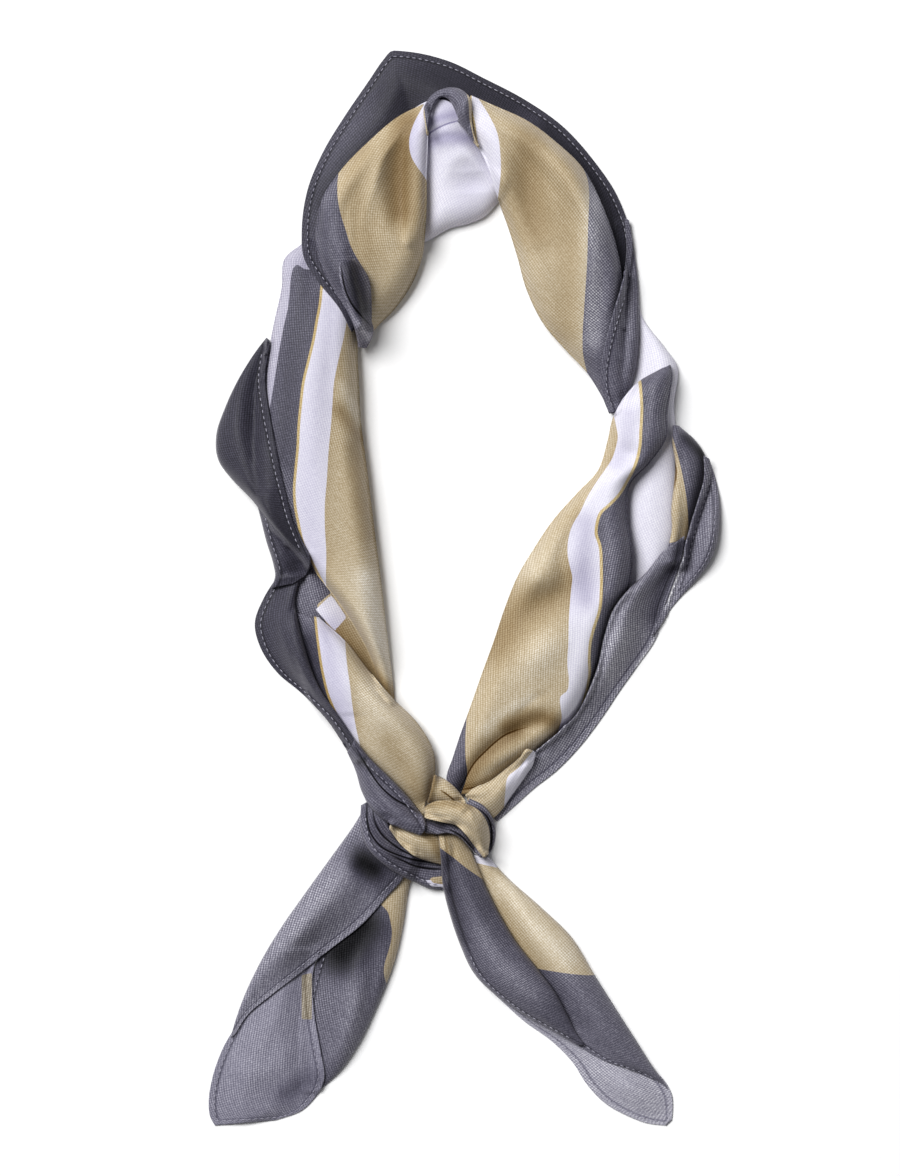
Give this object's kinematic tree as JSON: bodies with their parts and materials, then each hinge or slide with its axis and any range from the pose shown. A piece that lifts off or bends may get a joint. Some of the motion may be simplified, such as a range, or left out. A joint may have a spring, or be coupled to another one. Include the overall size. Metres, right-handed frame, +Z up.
{
  "type": "neckerchief",
  "caption": "Square silk neckerchief folded into a band, looped for a neck and tied in a knot with its tails free, lying flat.",
  "frame": {"origin": "bottom centre of the lying neckerchief's box, on the surface it rests on", "axes": "+Z up from the surface, +Y from the tails to the back of the neck, +X to the wearer's left as seen from above"},
  "size_m": [0.1941, 0.4072, 0.0328],
  "materials": {
    "slate_silk": "satin",
    "gold_silk": "satin",
    "pale_silk": "satin"
  },
  "bodies": {
    "root": {"right_pale_fold": "pale_silk", "left_under_fold": "pale_silk", "left_band": "gold_silk", "corner_flap": "slate_silk", "inner_panel": "pale_silk", "left_leaf": "gold_silk", "right_leaf": "gold_silk", "arch_fold": "slate_silk", "left_pinch_fold": "slate_silk", "right_turned_hem": "slate_silk", "right_band": "gold_silk", "right_inner_fold": "slate_silk", "right_hem_panel": "slate_silk", "right_lobe_hem": "slate_silk", "right_lower_fold": "gold_silk", "left_front_fold": "gold_silk", "left_lobe_lower": "slate_silk", "left_lobe_middle": "slate_silk", "left_lobe_upper": "slate_silk", "tail_left_back": "slate_silk", "tail_left_tip": "slate_silk", "tail_left_front": "slate_silk", "tail_right_tip": "slate_silk", "tail_right_back": "slate_silk", "knot_side_layers": "slate_silk", "knot_top_fold": "gold_silk", "knot_hem_wrap": "slate_silk", "knot_lower_wrap": "gold_silk", "tail_right_front": "slate_silk", "knot_roll": "slate_silk", "knot_crescent": "gold_silk", "knot_hem_nose": "slate_silk"}
  },
  "joints": []
}
